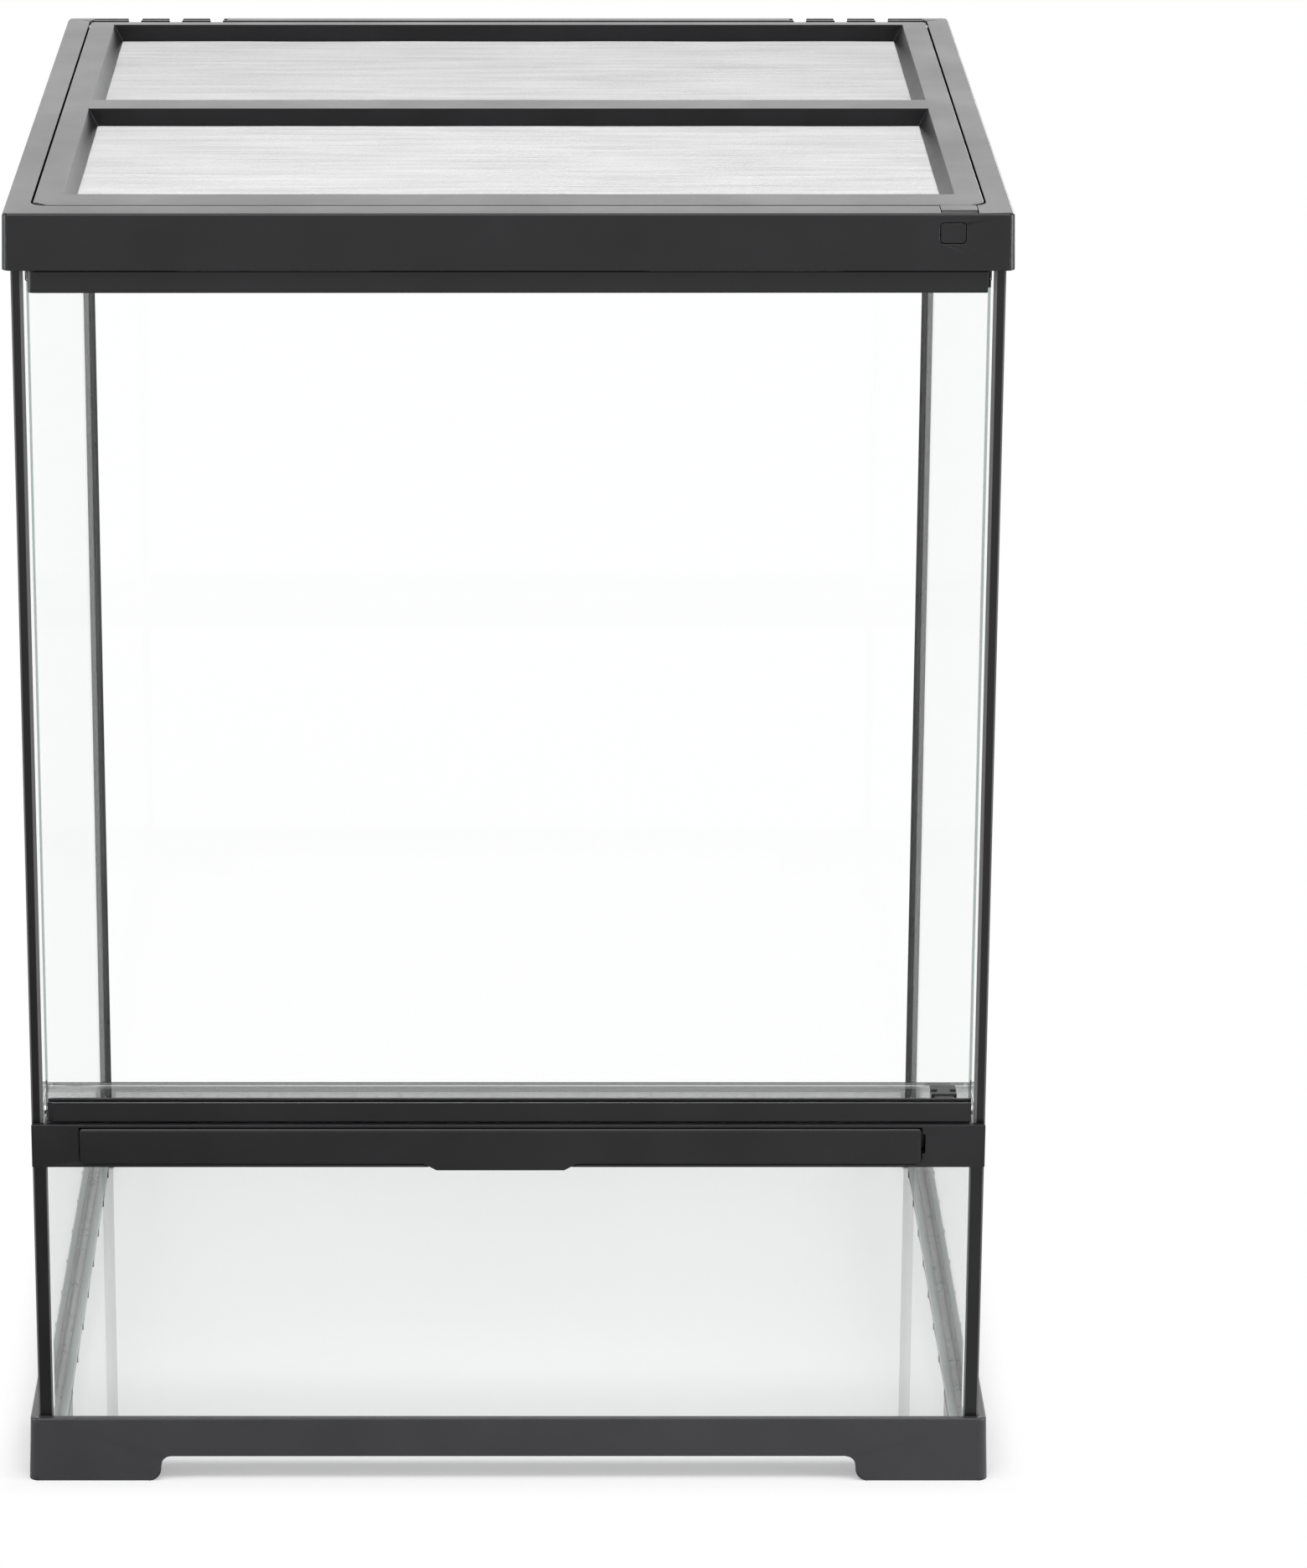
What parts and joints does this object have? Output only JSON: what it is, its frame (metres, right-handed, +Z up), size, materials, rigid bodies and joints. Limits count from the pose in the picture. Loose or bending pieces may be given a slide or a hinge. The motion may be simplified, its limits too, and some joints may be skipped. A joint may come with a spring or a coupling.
{
  "type": "reptile terrarium",
  "caption": "Upright glass terrarium on a raised base, with a full-width hinged glass door above a latch bar, a hinged screen lid with lock button, and closable cable ports.",
  "frame": {"origin": "on the floor, under the middle of the tank", "axes": "+X to the right seen from the front, +Y to the back, +Z up; the door faces -Y"},
  "size_m": [0.457, 0.457, 0.6165],
  "materials": {
    "black_plastic": "satin charcoal, fine moulded texture",
    "clear_glass": "clear float glass with polished edges",
    "black_sealant": "smooth black silicone",
    "mesh_steel": "fine woven wire",
    "pin_steel": "turned"
  },
  "bodies": {
    "root": {"base_frame": "black_plastic", "floor_glass": "clear_glass", "back_glass": "clear_glass", "left_glass": "clear_glass", "right_glass": "clear_glass", "lower_front_glass": "clear_glass", "glass_ledge": "clear_glass", "front_bar": "black_plastic", "top_frame": "black_plastic", "left_front_bead": "black_sealant", "right_front_bead": "black_sealant", "left_back_bead": "black_sealant", "right_back_bead": "black_sealant", "floor_beads": "black_sealant", "door_catch": "black_plastic"},
    "door": {"door_glass": "clear_glass", "door_top_rail": "black_plastic", "door_bottom_rail": "black_plastic", "door_hinge_pins": "pin_steel", "door_striker": "black_plastic"},
    "latch": {"latch_flap": "black_plastic"},
    "lid": {"lid_frame": "black_plastic", "front_mesh": "mesh_steel", "rear_mesh": "mesh_steel", "front_mesh_retainer": "black_plastic", "rear_mesh_retainer": "black_plastic", "lid_hinge_pins": "pin_steel", "lid_hasp": "black_plastic"},
    "lock_button": {"lid_lock_button": "black_plastic"},
    "left_slider": {"left_port_slider": "black_plastic"},
    "right_slider": {"right_port_slider": "black_plastic"}
  },
  "joints": [
    {"name": "door_hinge", "type": "hinge", "parent": "root", "child": "door", "pos_m": [-0.2128, -0.221, 0.38], "axis": [0, 0, -1], "range_deg": [0, 100]},
    {"name": "latch_hinge", "type": "hinge", "parent": "root", "child": "latch", "pos_m": [0, -0.2255, 0.1772], "axis": [-1, 0, 0], "range_deg": [0, 25], "stiffness_Nm_per_rad": 0.05},
    {"name": "lid_hinge", "type": "hinge", "parent": "root", "child": "lid", "pos_m": [0, 0.2154, 0.6135], "axis": [-1, 0, 0], "range_deg": [0, 95]},
    {"name": "lock_button_press", "type": "slide", "parent": "root", "child": "lock_button", "axis": [0, 1, 0], "range_m": [0, 0.0015], "stiffness_N_per_m": 300},
    {"name": "left_slider_slide", "type": "slide", "parent": "root", "child": "left_slider", "axis": [-1, 0, 0], "range_m": [0, 0.0105]},
    {"name": "right_slider_slide", "type": "slide", "parent": "root", "child": "right_slider", "axis": [1, 0, 0], "range_m": [0, 0.0105]}
  ]
}
